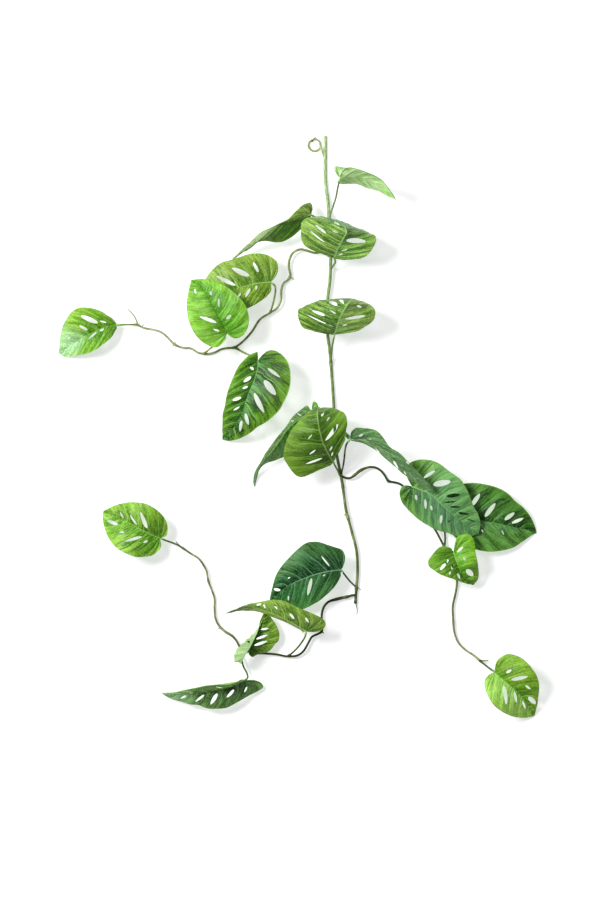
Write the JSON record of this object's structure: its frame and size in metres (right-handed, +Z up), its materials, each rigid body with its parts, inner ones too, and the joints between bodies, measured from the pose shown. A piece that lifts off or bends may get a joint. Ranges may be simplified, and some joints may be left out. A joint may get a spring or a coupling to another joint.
{
  "type": "monstera adansonii vine garland",
  "caption": "Artificial trailing Swiss cheese vine: a wired stem with side shoots, holed heart-shaped leaves and a small hanging loop.",
  "frame": {"origin": "middle of the bounding box in plan, on the surface that the garland lies on", "axes": "+Z up from the surface, +Y along the main stem towards its end with the hanging loop, +X to the side of the upper right leaf"},
  "size_m": [0.6607, 0.8004, 0.0856],
  "materials": {
    "stem": "satin, light grey-green to olive brown",
    "leaf_bright": "semi-gloss fresh green with paler veins",
    "leaf_olive": "semi-gloss olive green with paler veins",
    "leaf_dark": "semi-gloss dark green with paler veins",
    "leaf_blue": "semi-gloss blue-green with paler veins",
    "leaf_pale": "satin pale green underside"
  },
  "bodies": {
    "root": {"main_stem": "stem", "hanging_loop": "stem", "shoot_upper_left": "stem", "shoot_right": "stem", "shoot_lower_left": "stem", "leaf_01": "leaf_pale", "leaf_02": "leaf_dark", "leaf_03": "leaf_olive", "leaf_04": "leaf_olive", "leaf_05": "leaf_bright", "leaf_06": "leaf_bright", "leaf_07": "leaf_dark", "leaf_08": "leaf_olive", "leaf_09": "leaf_blue", "leaf_10": "leaf_olive", "leaf_11": "leaf_blue", "leaf_12": "leaf_blue", "leaf_13": "leaf_dark", "leaf_14": "leaf_bright", "leaf_15": "leaf_bright", "leaf_16": "leaf_blue", "leaf_17": "leaf_olive", "leaf_18": "leaf_bright", "leaf_19": "leaf_dark", "leaf_20": "leaf_bright"}
  },
  "joints": []
}
